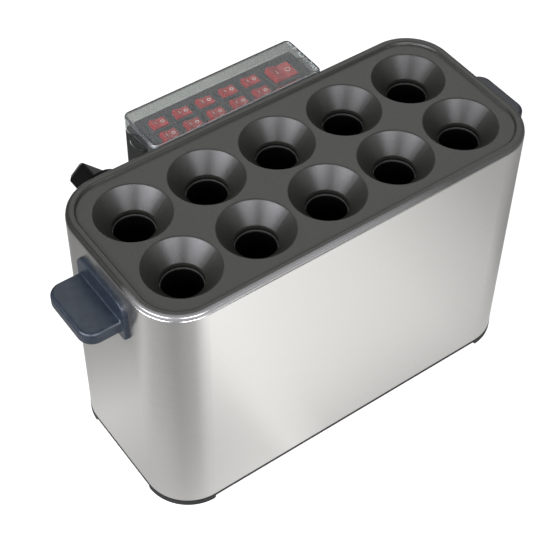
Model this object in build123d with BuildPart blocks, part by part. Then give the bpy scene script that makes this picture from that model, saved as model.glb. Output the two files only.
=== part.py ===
from build123d import *

import os
from dataclasses import dataclass
from math import cos, radians, sin, tan

# Countertop egg sausage maker: ten upright cooking tubes under a coated mould
# plate, in a stainless housing with a switch box on its rear wall.
# Millimetres. +X right, +Y to the rear, +Z up. The origin lies on the surface
# that the feet stand on, under the middle of the whole appliance.

# cooking positions
column_count = 5
tube_pitch_x = 70.0
tube_pitch_y = 70.0
tube_bore = 33.4
tube_wall = 1.0
tube_stand = 46.0
tube_floor = 3.0
tube_lip_width = 0.6
tube_lip_depth = 2.4
tube_bottom_round = 3.0

# heights
face_height = 251.5
foot_height = 4.4
base_thickness = 1.6

# general clearances
seat_gap = 0.3
screw_gap = 0.2
cut_overrun = 5.0

# mould plate
plate_end_margin = 49.7
plate_side_margin = 50.3
plate_corner = 41.5
plate_thickness = 4.0
rim_band = 8.0
rim_rise = 2.6
rim_outer_round = 3.4
rim_inner_round = 2.0
rim_root_round = 0.9
skirt_depth = 1.0
floor_root = 1.2
mouth_diameter = 64.2
mouth_round = 1.6
cone_depth = 16.0
throat_diameter = 36.0
tube_head_depth = 20.6
collar_depth = 30.0
funnel_wall = 3.0
rod_boss_diameter = 13.0
rod_boss_depth = 18.0

# housing
housing_proud = 0.4
housing_wall = 1.0
housing_edge_round = 1.3
top_flange_width = 6.6
bottom_flange_width = 12.0

# base and feet
base_overhang = 0.3
base_slot_length = 34.0
base_slot_width = 4.0
base_slot_columns = 6
base_slot_rows = 2
base_slot_pitch_x = 46.0
base_slot_pitch_y = 14.0
base_slot_row = 35.0
base_screw_pitch = 90.0
foot_width = 16.0
foot_end_bevel = 2.0
foot_round = 0.6

# fasteners
screw_diameter = 4.0
screw_head_diameter = 7.6
screw_head_height = 2.4
screw_drive = 3.6
screw_drive_depth = 1.2
screw_tail = 2.5
rod_diameter = 6.0
nut_across_corners = 11.0
nut_height = 3.0

# heaters and the plate that carries the tubes
heater_wall = 2.6
heater_drop = 24.0
heater_stand = 27.0
heater_split = 6.0
heater_ear = 8.0
heater_ear_thickness = 1.4
carrier_thickness = 2.0
carrier_margin = 26.0
carrier_corner = 20.0
carrier_ring_height = 6.0
carrier_ring_wall = 1.6

# handles
handle_reach = 35.9
handle_half_width = 31.8
handle_corner = 13.0
handle_top_drop = 32.0
handle_thickness = 13.0
handle_edge_round = 3.2
handle_cove = 1.6
handle_flange_half_width = 35.0
handle_flange_thickness = 3.8
handle_flange_top_drop = 14.0
handle_flange_bottom_drop = 53.8
handle_flange_top_corner = 11.0
handle_flange_bottom_corner = 4.0
handle_flange_round = 1.2
handle_screw_spread = 40.0
handle_screw_grip = 12.0

# switch box, its panel and its clear cover
box_centre_x = -0.7
box_front_gap = 0.3
box_shoulder_drop = 14.8
box_depth_below = 112.0
box_wall = 2.5
box_corner = 6.0
box_bottom_round = 5.0
collar_height = 2.3
collar_wall = 2.0
collar_rear_inset = 5.3
cover_top_rise = 1.0
cover_wall = 2.0
cover_round = 3.0
cover_collar_gap = 0.5
panel_thickness = 2.0
tab_radius = 16.3
tab_reach = 6.0
tab_thickness = 2.0
box_screw_spread_x = 120.0
box_screw_spread_z = 60.0
box_boss_diameter = 9.0
box_boss_depth = 10.0
wire_hole_diameter = 22.0

# switches
small_switch_pitch_x = 23.6
small_switch_pitch_y = 17.4
switch_left_margin = 12.7
switch_right_margin = 10.9
switch_front_margin = 6.3
switch_rear_margin = 13.1
main_switch_gap = 3.0
main_switch_shift = 2.3
small_bezel_length = 21.0
small_bezel_width = 15.0
small_rocker_length = 15.6
small_rocker_width = 10.0
small_body_depth = 9.5
small_belly = 3.0
main_bezel_length = 31.0
main_bezel_width = 25.0
main_rocker_length = 24.2
main_rocker_width = 18.4
main_body_depth = 11.5
main_belly = 3.4
bezel_height = 1.8
bezel_corner = 1.5
bezel_round = 0.7
switch_body_inset = 0.9
switch_body_shoulder = 0.6
switch_floor = 1.5
rocker_tilt = 9.0
rocker_rise = 1.2
rocker_hip = 0.5
rocker_end_slope = 0.9
rocker_end_gap = 0.5
rocker_side_gap = 0.3
rocker_round = 0.5
pivot_depth = 3.2
pivot_gap = 0.07
pin_diameter = 2.2
pin_reach = 0.8
blade_length = 7.0
blade_width = 4.0
blade_thickness = 0.8

# thermostat
thermostat_side_gap = 54.6
thermostat_drop = 25.5
thermostat_body_length = 25.0
thermostat_body_height = 30.0
thermostat_heater_gap = 9.1
thermostat_body_round = 2.0
bushing_diameter = 9.6
bushing_reach = 5.0
bushing_nut_across = 15.0
bushing_nut_height = 2.2
shaft_diameter = 6.0
shaft_gap = 0.08
shaft_grip = 12.0
shaft_inside = 12.0
knob_gap = 1.6
knob_skirt_diameter = 44.0
knob_skirt_height = 7.0
knob_skirt_taper = 12.0
knob_recess_diameter = 24.0
knob_recess_depth = 5.5
knob_height = 27.9
knob_grip_length = 39.6
knob_grip_width = 19.4
knob_grip_corner = 3.0
knob_crown_height = 5.0
knob_crown_length = 32.6
knob_crown_width = 15.8
knob_crown_corner = 2.5
knob_round = 1.0
knob_angle = 46.5

# mains inlet: a gland on the rear wall, and the block that its wires reach
gland_side_gap = 62.1
gland_height = 42.0
gland_thread_diameter = 18.0
gland_collar_across = 24.0
gland_collar_height = 5.0
gland_dome_diameter = 19.0
gland_dome_height = 13.0
gland_bore = 8.5
gland_dome_round = 3.0
gland_inside = 9.0
gland_nut_height = 4.0
block_side_gap = 40.1
block_length = 48.0
block_width = 24.0
block_height = 18.0
block_poles = 3
block_entry_pitch = 16.0
block_well_diameter = 6.0
block_well_depth = 7.0
block_ear_width = 10.0
block_ear_height = 5.0
block_entry_diameter = 4.5
block_entry_depth = 8.0
block_ear_reach = 5.0
block_round = 1.5

# places worked out from the sizes above
plate_length = (column_count - 1) * tube_pitch_x + 2 * plate_end_margin
plate_width = tube_pitch_y + 2 * plate_side_margin
housing_length = plate_length + 2 * housing_proud
housing_width = plate_width + 2 * housing_proud
housing_corner = plate_corner + housing_proud
base_length = housing_length + 2 * base_overhang
base_width = housing_width + 2 * base_overhang
base_corner = housing_corner + base_overhang
rear_wall = housing_width / 2
side_wall = housing_length / 2
cover_front = housing_width / 2 + box_front_gap
small_row_length = (column_count - 1) * small_switch_pitch_x + small_bezel_length
switch_run = small_row_length + main_switch_gap + main_bezel_length
box_length = switch_left_margin + switch_run + switch_right_margin
box_left = box_centre_x - box_length / 2
small_switch_first_x = box_left + switch_left_margin + small_bezel_length / 2
main_switch_x = box_left + box_length - switch_right_margin - main_bezel_length / 2
small_switch_front_y = cover_front + switch_front_margin + small_bezel_width / 2
main_switch_y = small_switch_front_y + small_switch_pitch_y / 2 + main_switch_shift
box_rear = small_switch_front_y + small_switch_pitch_y + small_bezel_width / 2 + switch_rear_margin
box_rear_reach = box_rear - rear_wall
body_y = (base_width / 2 - box_rear) / 2
base_top = foot_height + base_thickness
plate_bottom = face_height - skirt_depth
housing_top = plate_bottom - seat_gap
tube_radius = tube_bore / 2 + tube_wall
tube_top = face_height - tube_head_depth
tube_bottom = base_top + tube_stand
tube_length = tube_top - tube_bottom
heater_inner = tube_radius + seat_gap
heater_outer = heater_inner + heater_wall
rod_spots = [tube_pitch_x * (step + 0.5) for step in (-2, -1, 0, 1)]
column_spots = [tube_pitch_x * (step - (column_count - 1) / 2) for step in range(column_count)]
row_spots = {"front": -tube_pitch_y / 2, "rear": tube_pitch_y / 2}
shoulder = face_height - box_shoulder_drop
panel_seat = shoulder + collar_height
panel_top = panel_seat + panel_thickness
bezel_top = panel_top + bezel_height
cover_width = box_rear - cover_front
cover_centre_y = (box_rear + cover_front) / 2
cover_bottom = shoulder + seat_gap
cover_top = face_height + cover_top_rise
box_bottom = shoulder - box_depth_below
handle_top = face_height - handle_top_drop
thermostat_height = face_height - thermostat_drop
thermostat_x = thermostat_side_gap - side_wall
gland_x = side_wall - gland_side_gap
block_x = side_wall - block_side_gap
block_screw_spread = block_length + 2 * block_ear_reach


def at(x, y, height):
    # a level plane; y is counted from the middle of the housing
    return Plane(origin=(x, body_y + y, height))


def facing_front(x, y, height):
    # local x to the right, local y up, out of the page to the front
    return Plane(origin=(x, body_y + y, height), x_dir=(1, 0, 0), z_dir=(0, -1, 0))


def facing_rear(x, y, height):
    # local y up, out of the page to the rear
    return Plane(origin=(x, body_y + y, height), x_dir=(-1, 0, 0), z_dir=(0, 1, 0))


def facing_side(side, x, y, height):
    # local y up, out of the page to the right for side 1, to the left for -1
    return Plane(origin=(x, body_y + y, height), x_dir=(0, side, 0), z_dir=(side, 0, 0))


def save(part, name):
    part.label = name
    export_step(part, f"parts/{name}.step")


os.makedirs("parts", exist_ok=True)

# funnels: their cone starts in the plate and goes on below it to the tube's collar
mouth_radius = mouth_diameter / 2
throat_radius = throat_diameter / 2
funnel_outer = throat_radius + funnel_wall
cone_slope = (mouth_radius - throat_radius) / cone_depth
under_radius = mouth_radius - plate_thickness * cone_slope + funnel_wall

with BuildPart() as funnel_hollow:
    with BuildSketch(facing_front(0, -body_y, 0)) as hollow_sketch:
        with BuildLine():
            Polyline(
                (0, cut_overrun),
                (mouth_radius + mouth_round + cut_overrun, cut_overrun),
                (mouth_radius + mouth_round + cut_overrun, 0),
                (mouth_radius, 0),
                (throat_radius, -cone_depth),
                (throat_radius, -collar_depth - cut_overrun),
                (0, -collar_depth - cut_overrun),
                close=True,
            )
        make_face()
        mouth_corner = hollow_sketch.vertices().sort_by_distance((mouth_radius, 0))[0]
        fillet(mouth_corner, mouth_round)
        throat_corner = hollow_sketch.vertices().sort_by_distance((throat_radius, -cone_depth))[0]
        fillet(throat_corner, mouth_round)
    revolve(axis=Axis.Z)

with BuildPart() as funnel:
    with BuildSketch(facing_front(0, -body_y, 0)):
        with BuildLine():
            Polyline(
                (0, -plate_thickness),
                (under_radius, -plate_thickness),
                (funnel_outer, -cone_depth - funnel_wall / 2),
                (funnel_outer, -collar_depth),
                (0, -collar_depth),
                close=True,
            )
        make_face()
    revolve(axis=Axis.Z)
    add(funnel_hollow.part, mode=Mode.SUBTRACT)

for row, y in row_spots.items():
    with BuildPart() as funnels:
        with Locations([(x, body_y + y, face_height) for x in column_spots]):
            add(funnel.part)
    save(funnels.part, f"funnels_{row}")

# mould plate: a coated floor with a flared mouth over each funnel, a rolled rim,
# and a boss below for each tie rod
floor_inset = rim_band - floor_root
with BuildPart() as mould_plate:
    with BuildSketch(at(0, 0, plate_bottom)):
        RectangleRounded(plate_length, plate_width, plate_corner)
        RectangleRounded(
            plate_length - 2 * rim_band,
            plate_width - 2 * rim_band,
            plate_corner - rim_band,
            mode=Mode.SUBTRACT,
        )
    extrude(amount=skirt_depth + rim_rise)
    with BuildSketch(at(0, 0, face_height - plate_thickness)):
        RectangleRounded(
            plate_length - 2 * floor_inset,
            plate_width - 2 * floor_inset,
            plate_corner - floor_inset,
        )
    extrude(amount=plate_thickness)
    rim_root = mould_plate.edges().filter_by_position(Axis.Z, face_height, face_height)
    fillet(rim_root, rim_root_round)
    fillet(mould_plate.faces().sort_by(Axis.Z)[-1].outer_wire().edges(), rim_outer_round)
    fillet(mould_plate.faces().sort_by(Axis.Z)[-1].inner_wires()[0].edges(), rim_inner_round)
    for x in rod_spots:
        with BuildSketch(at(x, 0, face_height - plate_thickness / 2)):
            Circle(rod_boss_diameter / 2)
        extrude(amount=-rod_boss_depth)
        with BuildSketch(at(x, 0, face_height - plate_thickness)):
            Circle(rod_diameter / 2 + screw_gap)
        extrude(amount=-rod_boss_depth, mode=Mode.SUBTRACT)
    for y in row_spots.values():
        with Locations([(x, body_y + y, face_height) for x in column_spots]):
            add(funnel_hollow.part, mode=Mode.SUBTRACT)
save(mould_plate.part, "mould_plate")

# cooking tubes: blind steel sleeves that stand in the collars under the funnels
for row, y in row_spots.items():
    for number, x in enumerate(column_spots, start=1):
        with BuildPart() as cooking_tube:
            with BuildSketch(at(x, y, tube_bottom)):
                Circle(tube_radius)
            extrude(amount=tube_length)
            with BuildSketch(at(x, y, tube_bottom + tube_floor)):
                Circle(tube_bore / 2)
            extrude(amount=tube_length, mode=Mode.SUBTRACT)
            tube_end = cooking_tube.faces().sort_by(Axis.Z)[-1]
            tube_mouth = tube_end.inner_wires()[0].edges()
            chamfer(tube_mouth, tube_lip_width, tube_lip_depth, reference=tube_end)
            fillet(cooking_tube.faces().sort_by(Axis.Z)[0].edges(), tube_bottom_round)
        save(cooking_tube.part, f"cooking_tube_{row}_{number}")

# heater bands: one split band round each tube, its ears toward the centre line
heater_bottom = tube_bottom + heater_stand
heater_height = tube_length - heater_drop - heater_stand
ear_length = 2 * heater_ear
for row, y in row_spots.items():
    toward_middle = -1 if y > 0 else 1
    with BuildPart() as heater_bands:
        for x in column_spots:
            with BuildSketch(at(x, y, heater_bottom)):
                Circle(heater_outer)
                with Locations((0, toward_middle * heater_outer)):
                    Rectangle(heater_split + 2 * heater_ear_thickness, ear_length)
                Circle(heater_inner, mode=Mode.SUBTRACT)
                with Locations((0, toward_middle * heater_outer)):
                    Rectangle(heater_split, ear_length + cut_overrun, mode=Mode.SUBTRACT)
            extrude(amount=heater_height)
    save(heater_bands.part, f"heater_bands_{row}")

# tube carrier: the plate that the tubes stand on, with a locating ring for each
carrier_length = (column_count - 1) * tube_pitch_x + 2 * carrier_margin
carrier_width = tube_pitch_y + 2 * carrier_margin
carrier_ring_inner = tube_radius + seat_gap
rod_places = [(x, 0) for x in rod_spots]
with BuildPart() as tube_carrier:
    with BuildSketch(at(0, 0, tube_bottom)):
        RectangleRounded(carrier_length, carrier_width, carrier_corner)
        with Locations(rod_places):
            Circle(rod_diameter / 2 + screw_gap, mode=Mode.SUBTRACT)
    extrude(amount=-carrier_thickness)
    with BuildSketch(at(0, 0, tube_bottom)):
        with GridLocations(tube_pitch_x, tube_pitch_y, column_count, len(row_spots)):
            Circle(carrier_ring_inner + carrier_ring_wall)
            Circle(carrier_ring_inner, mode=Mode.SUBTRACT)
    extrude(amount=carrier_ring_height)
save(tube_carrier.part, "tube_carrier")

# tie rods and nuts: they hang the carrier and the base from the mould plate
rod_top = face_height - plate_thickness - seat_gap
rod_bottom = foot_height - nut_height
boss_bottom = face_height - plate_thickness / 2 - rod_boss_depth
nut_bottoms = [
    boss_bottom - nut_height,
    tube_bottom,
    tube_bottom - carrier_thickness - nut_height,
    rod_bottom,
]
with BuildPart() as tie_rods:
    with BuildSketch(at(0, 0, rod_bottom)):
        with Locations(rod_places):
            Circle(rod_diameter / 2)
    extrude(amount=rod_top - rod_bottom)
save(tie_rods.part, "tie_rods")

with BuildPart() as tie_rod_nuts:
    for nut_bottom in nut_bottoms:
        with BuildSketch(at(0, 0, nut_bottom)):
            with Locations(rod_places):
                RegularPolygon(nut_across_corners / 2, 6)
                Circle(rod_diameter / 2 + screw_gap, mode=Mode.SUBTRACT)
        extrude(amount=nut_height)
save(tie_rod_nuts.part, "tie_rod_nuts")

# housing: a thin steel band with rounded corners and a flange at both ends
handle_screw_height = handle_top - handle_thickness / 2
box_middle = (shoulder + box_bottom) / 2
screw_hole = screw_diameter / 2 + screw_gap
base_screw_row = rear_wall - bottom_flange_width / 2
base_screw_end = side_wall - bottom_flange_width / 2
base_screw_columns = (-base_screw_pitch, 0, base_screw_pitch)
base_screw_places = [(x, y) for x in base_screw_columns for y in (-base_screw_row, base_screw_row)]
base_screw_places += [(-base_screw_end, 0), (base_screw_end, 0)]
housing_height = housing_top - base_top
with BuildPart() as housing:
    with BuildSketch(at(0, 0, base_top)):
        RectangleRounded(housing_length, housing_width, housing_corner)
    extrude(amount=housing_height)
    fillet(housing.faces().sort_by(Axis.Z)[-1].edges(), housing_edge_round)
    fillet(housing.faces().sort_by(Axis.Z)[0].edges(), housing_edge_round)
    with BuildSketch(at(0, 0, base_top + housing_wall)):
        RectangleRounded(
            housing_length - 2 * housing_wall,
            housing_width - 2 * housing_wall,
            housing_corner - housing_wall,
        )
    extrude(amount=housing_height - 2 * housing_wall, mode=Mode.SUBTRACT)
    for flange_width, flange_bottom in (
        (bottom_flange_width, base_top),
        (top_flange_width, housing_top - housing_wall),
    ):
        with BuildSketch(at(0, 0, flange_bottom)):
            RectangleRounded(
                housing_length - 2 * flange_width,
                housing_width - 2 * flange_width,
                housing_corner - flange_width,
            )
        extrude(amount=housing_wall, mode=Mode.SUBTRACT)
    with BuildSketch(at(0, 0, base_top)):
        with Locations(base_screw_places):
            Circle(screw_hole)
    extrude(amount=housing_wall, mode=Mode.SUBTRACT)
    for side in (-1, 1):
        with BuildSketch(facing_side(side, side * side_wall, 0, handle_screw_height)):
            with GridLocations(handle_screw_spread, 0, 2, 1):
                Circle(screw_hole)
        extrude(amount=-housing_wall, mode=Mode.SUBTRACT)
    with BuildSketch(facing_rear(box_centre_x, rear_wall, box_middle)):
        with GridLocations(box_screw_spread_x, box_screw_spread_z, 2, 2):
            Circle(screw_hole)
        Circle(wire_hole_diameter / 2)
    extrude(amount=-housing_wall, mode=Mode.SUBTRACT)
    with BuildSketch(facing_rear(thermostat_x, rear_wall, thermostat_height)):
        Circle(bushing_diameter / 2 + screw_gap)
    extrude(amount=-housing_wall, mode=Mode.SUBTRACT)
    with BuildSketch(facing_rear(gland_x, rear_wall, gland_height)):
        Circle(gland_thread_diameter / 2 + screw_gap)
    extrude(amount=-housing_wall, mode=Mode.SUBTRACT)
save(housing.part, "housing")

# base plate: folded under the housing, slotted so that warm air can rise
block_screw_places = [(block_x, -block_screw_spread / 2), (block_x, block_screw_spread / 2)]
with BuildPart() as base_plate:
    with BuildSketch(at(0, 0, foot_height)):
        RectangleRounded(base_length, base_width, base_corner)
        with Locations((0, -base_slot_row), (0, base_slot_row)):
            with GridLocations(base_slot_pitch_x, base_slot_pitch_y, base_slot_columns, base_slot_rows):
                SlotOverall(base_slot_length, base_slot_width, mode=Mode.SUBTRACT)
        with Locations(rod_places):
            Circle(rod_diameter / 2 + screw_gap, mode=Mode.SUBTRACT)
        with Locations(base_screw_places):
            Circle(screw_hole, mode=Mode.SUBTRACT)
        with Locations(block_screw_places):
            Circle(screw_hole, mode=Mode.SUBTRACT)
    extrude(amount=base_thickness)
save(base_plate.part, "base_plate")


def screw_set(planes, spots, grip):
    # heads below each plane, shanks reaching up through it
    with BuildPart() as screws:
        for plane in planes:
            with BuildSketch(plane):
                with Locations(spots):
                    Circle(screw_head_diameter / 2)
            extrude(amount=-screw_head_height)
            with BuildSketch(plane):
                with Locations(spots):
                    Circle(screw_diameter / 2)
            extrude(amount=grip)
            with BuildSketch(plane.offset(-screw_head_height)):
                with Locations(spots):
                    RegularPolygon(screw_drive / 2, 6)
            extrude(amount=screw_drive_depth, mode=Mode.SUBTRACT)
    return screws.part


base_screw_grip = base_thickness + housing_wall + screw_tail
save(screw_set([at(0, 0, foot_height)], base_screw_places, base_screw_grip), "base_screws")

# feet: a crescent pad under each rounded corner of the base
for row, rearward in {"front": -1, "rear": 1}.items():
    for hand, side in {"left": -1, "right": 1}.items():
        with BuildPart() as foot:
            with BuildSketch(at(0, 0, 0)):
                RectangleRounded(base_length, base_width, base_corner)
                RectangleRounded(
                    base_length - 2 * foot_width,
                    base_width - 2 * foot_width,
                    base_corner - foot_width,
                    mode=Mode.SUBTRACT,
                )
                with Locations((side * base_length / 2, rearward * base_width / 2)):
                    Rectangle(2 * base_corner, 2 * base_corner, mode=Mode.INTERSECT)
            extrude(amount=foot_height)
            tread_edges = foot.faces().sort_by(Axis.Z)[0].edges()
            chamfer(tread_edges.filter_by(GeomType.LINE), foot_end_bevel)
            tread_edges = foot.faces().sort_by(Axis.Z)[0].edges()
            fillet(tread_edges.filter_by(GeomType.CIRCLE), foot_round)
        save(foot.part, f"foot_{row}_{hand}")

# handles: a flat paddle on a flange against each end of the housing
handle_root = side_wall + handle_flange_thickness
flange_centre_drop = (handle_flange_top_drop + handle_flange_bottom_drop) / 2
handle_screw_places = [(-handle_screw_spread / 2, 0), (handle_screw_spread / 2, 0)]
for hand, side in {"left": -1, "right": 1}.items():
    with BuildPart() as handle:
        with BuildSketch(facing_side(side, side * side_wall, 0, face_height)) as flange_sketch:
            with Locations((0, -flange_centre_drop)):
                Rectangle(
                    2 * handle_flange_half_width,
                    handle_flange_bottom_drop - handle_flange_top_drop,
                )
            fillet(flange_sketch.vertices().group_by(Axis.Y)[-1], handle_flange_top_corner)
            fillet(flange_sketch.vertices().group_by(Axis.Y)[0], handle_flange_bottom_corner)
        extrude(amount=handle_flange_thickness)
        fillet(handle.faces().sort_by(Axis.X)[-1 if side > 0 else 0].edges(), handle_flange_round)
        with BuildSketch(at(side * (side_wall + handle_reach / 2), 0, handle_top)) as paddle_sketch:
            Rectangle(handle_reach, 2 * handle_half_width)
            outer_corners = paddle_sketch.vertices().group_by(Axis.X)[-1 if side > 0 else 0]
            fillet(outer_corners, handle_corner)
        extrude(amount=-handle_thickness)
        paddle_edges = handle.edges().filter_by(
            lambda edge: abs(edge.center().X) > handle_root + handle_flange_round
        )
        fillet(paddle_edges.filter_by(Axis.Z, reverse=True), handle_edge_round)
        root_face = handle.faces().filter_by(lambda face: len(face.inner_wires()) > 0)[0]
        fillet(root_face.inner_wires()[0].edges(), handle_cove)
        with BuildSketch(facing_side(side, side * side_wall, 0, handle_screw_height)):
            with Locations(handle_screw_places):
                Circle(screw_hole)
        extrude(amount=handle_screw_grip + screw_tail, mode=Mode.SUBTRACT)
    save(handle.part, f"handle_{hand}")

inner_side = side_wall - housing_wall
handle_planes = [facing_side(side, side * inner_side, 0, handle_screw_height) for side in (-1, 1)]
save(screw_set(handle_planes, handle_screw_places, housing_wall + handle_screw_grip), "handle_screws")

# switch box: black, hollow, closed below; its collar carries the panel
box_middle_y = (rear_wall + box_rear) / 2
collar_inset = cover_wall + cover_collar_gap
collar_length = box_length - 2 * collar_inset
collar_width = cover_width - collar_inset - collar_rear_inset
collar_centre_y = cover_front + collar_inset + collar_width / 2
collar_corner = box_corner - collar_inset
box_screw_places = [
    (x, z)
    for x in (-box_screw_spread_x / 2, box_screw_spread_x / 2)
    for z in (-box_screw_spread_z / 2, box_screw_spread_z / 2)
]
with BuildPart() as switch_box:
    with BuildSketch(at(box_centre_x, box_middle_y, shoulder)) as box_sketch:
        Rectangle(box_length, box_rear_reach)
        fillet(box_sketch.vertices().group_by(Axis.Y)[-1], box_corner)
    extrude(amount=-box_depth_below)
    box_bottom_edges = switch_box.faces().sort_by(Axis.Z)[0].edges().sort_by(Axis.Y)[1:]
    fillet(box_bottom_edges, box_bottom_round)
    with BuildSketch(at(box_centre_x, box_middle_y, shoulder - box_wall)):
        RectangleRounded(
            box_length - 2 * box_wall,
            box_rear_reach - 2 * box_wall,
            box_corner - box_wall,
        )
    extrude(amount=-(box_depth_below - 2 * box_wall), mode=Mode.SUBTRACT)
    with BuildSketch(at(box_centre_x, collar_centre_y, shoulder)):
        RectangleRounded(collar_length, collar_width, collar_corner)
    extrude(amount=collar_height)
    with BuildSketch(at(box_centre_x, collar_centre_y, panel_seat)):
        RectangleRounded(
            collar_length - 2 * collar_wall,
            collar_width - 2 * collar_wall,
            collar_corner - collar_wall,
        )
    extrude(amount=-(collar_height + box_wall), mode=Mode.SUBTRACT)
    with BuildSketch(facing_rear(box_centre_x, rear_wall + box_wall / 2, box_middle)):
        with Locations(box_screw_places):
            Circle(box_boss_diameter / 2)
    extrude(amount=box_boss_depth)
    with BuildSketch(facing_rear(box_centre_x, rear_wall, box_middle)):
        with Locations(box_screw_places):
            Circle(screw_hole)
    extrude(amount=box_boss_depth, mode=Mode.SUBTRACT)
    with BuildSketch(facing_rear(box_centre_x, rear_wall, box_middle)):
        Circle(wire_hole_diameter / 2)
    extrude(amount=box_wall, mode=Mode.SUBTRACT)
save(switch_box.part, "switch_box")

box_screw_plane = facing_rear(box_centre_x, rear_wall - housing_wall, box_middle)
box_screw_grip = housing_wall + box_boss_depth - screw_tail
save(screw_set([box_screw_plane], box_screw_places, box_screw_grip), "switch_box_screws")


# switches: a rocker on two pins in a frame that snaps into the panel
@dataclass
class Switch:
    bezel_length: float
    bezel_width: float
    rocker_length: float
    rocker_width: float
    body_depth: float
    belly: float

    @property
    def body_length(self):
        return self.bezel_length - 2 * switch_body_inset

    @property
    def body_width(self):
        return self.bezel_width - 2 * switch_body_shoulder


small_switch = Switch(
    small_bezel_length,
    small_bezel_width,
    small_rocker_length,
    small_rocker_width,
    small_body_depth,
    small_belly,
)
main_switch = Switch(
    main_bezel_length,
    main_bezel_width,
    main_rocker_length,
    main_rocker_width,
    main_body_depth,
    main_belly,
)
switch_columns = [small_switch_first_x + small_switch_pitch_x * step for step in range(column_count)]
switch_rows = {
    "front": small_switch_front_y,
    "rear": small_switch_front_y + small_switch_pitch_y,
}
small_spots = [(x, y) for y in switch_rows.values() for x in switch_columns]

# panel: a flat plate on the collar with an opening for every switch
with BuildPart() as switch_panel:
    with BuildSketch(at(box_centre_x, collar_centre_y, panel_seat)):
        RectangleRounded(collar_length, collar_width, collar_corner)
    extrude(amount=panel_thickness)
    with BuildSketch(at(0, 0, panel_seat)):
        with Locations(small_spots):
            Rectangle(small_switch.body_length + 2 * screw_gap, small_switch.body_width + 2 * screw_gap)
        with Locations((main_switch_x, main_switch_y)):
            Rectangle(main_switch.body_length + 2 * screw_gap, main_switch.body_width + 2 * screw_gap)
    extrude(amount=panel_thickness, mode=Mode.SUBTRACT)
save(switch_panel.part, "switch_panel")


def frame_part(size):
    # one frame about its own centre, its underside of the bezel at height zero
    with BuildPart() as frame:
        with BuildSketch():
            RectangleRounded(size.bezel_length, size.bezel_width, bezel_corner)
        extrude(amount=bezel_height)
        fillet(frame.faces().sort_by(Axis.Z)[-1].edges(), bezel_round)
        with BuildSketch():
            Rectangle(size.body_length, size.body_width)
        extrude(amount=-size.body_depth)
        with BuildSketch(Plane.XY.offset(bezel_height)):
            Rectangle(
                size.rocker_length + 2 * rocker_end_gap,
                size.rocker_width + 2 * rocker_side_gap,
            )
        extrude(amount=-(bezel_height + size.body_depth - switch_floor), mode=Mode.SUBTRACT)
        with BuildSketch(Plane.XZ.offset(-size.bezel_width)):
            with Locations((0, bezel_height - pivot_depth)):
                Circle(pin_diameter / 2 + pivot_gap)
        extrude(amount=2 * size.bezel_width, mode=Mode.SUBTRACT)
        with BuildSketch(Plane.XY.offset(-size.body_depth)):
            with GridLocations(size.body_length / 2, 0, 2, 1):
                Rectangle(blade_thickness, blade_width)
        extrude(amount=-blade_length)
    return frame.part


small_frame = frame_part(small_switch)
for row, y in switch_rows.items():
    with BuildPart() as switch_frames:
        with Locations([(x, body_y + y, panel_top) for x in switch_columns]):
            add(small_frame)
    save(switch_frames.part, f"switch_frames_{row}")

with BuildPart() as main_switch_frame:
    with Locations((main_switch_x, body_y + main_switch_y, panel_top)):
        add(frame_part(main_switch))
save(main_switch_frame.part, "main_switch_frame")


def rocker_part(size, x, y):
    # drawn square to the rocker, which rests with its left end raised
    half = size.rocker_length / 2
    tip = half - rocker_end_slope
    crown = pivot_depth + rocker_rise
    tip_height = crown + tip * tan(radians(rocker_tilt))
    rocker_plane = Plane(
        origin=(x, body_y + y, bezel_top - pivot_depth),
        x_dir=(cos(radians(rocker_tilt)), 0, -sin(radians(rocker_tilt))),
        z_dir=(0, -1, 0),
    )
    with BuildPart() as rocker:
        with BuildSketch(rocker_plane) as rocker_sketch:
            with BuildLine():
                Polyline(
                    (-half, -rocker_hip),
                    (-tip, tip_height),
                    (0, crown),
                    (tip, tip_height),
                    (half, -rocker_hip),
                    (half / 2, -size.belly),
                    (-half / 2, -size.belly),
                    close=True,
                )
            make_face()
            fillet(rocker_sketch.vertices().sort_by_distance((0, crown))[0], tip)
        extrude(amount=size.rocker_width / 2, both=True)
        top_faces = rocker.faces().filter_by(lambda face: face.normal_at().Z > cos(radians(3 * rocker_tilt)))
        fillet(top_faces.edges().filter_by(lambda edge: edge.length > size.rocker_width / 2), rocker_round)
        with BuildSketch(rocker_plane):
            Circle(pin_diameter / 2)
        extrude(amount=size.rocker_width / 2 + rocker_side_gap + pin_reach, both=True)
    return rocker.part


for row, y in switch_rows.items():
    for number, x in enumerate(switch_columns, start=1):
        save(rocker_part(small_switch, x, y), f"rocker_{row}_{number}")
save(rocker_part(main_switch, main_switch_x, main_switch_y), "main_rocker")

# clear cover: a cap over the switches, lifted by a tab at each end
cover_height = cover_top - cover_bottom
tab_centre = box_length / 2 + tab_reach - tab_radius
with BuildPart() as switch_cover:
    with BuildSketch(at(box_centre_x, cover_centre_y, cover_bottom)):
        RectangleRounded(box_length, cover_width, box_corner)
    extrude(amount=cover_height)
    fillet(switch_cover.faces().sort_by(Axis.Z)[-1].edges(), cover_round)
    with BuildSketch(at(box_centre_x, cover_centre_y, cover_bottom)):
        with Locations((-tab_centre, 0), (tab_centre, 0)):
            Circle(tab_radius)
    extrude(amount=tab_thickness)
    with BuildSketch(at(box_centre_x, cover_centre_y, cover_bottom)):
        RectangleRounded(
            box_length - 2 * cover_wall,
            cover_width - 2 * cover_wall,
            box_corner - cover_wall,
        )
    extrude(amount=cover_height - cover_wall, mode=Mode.SUBTRACT)
save(switch_cover.part, "switch_cover")

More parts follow.
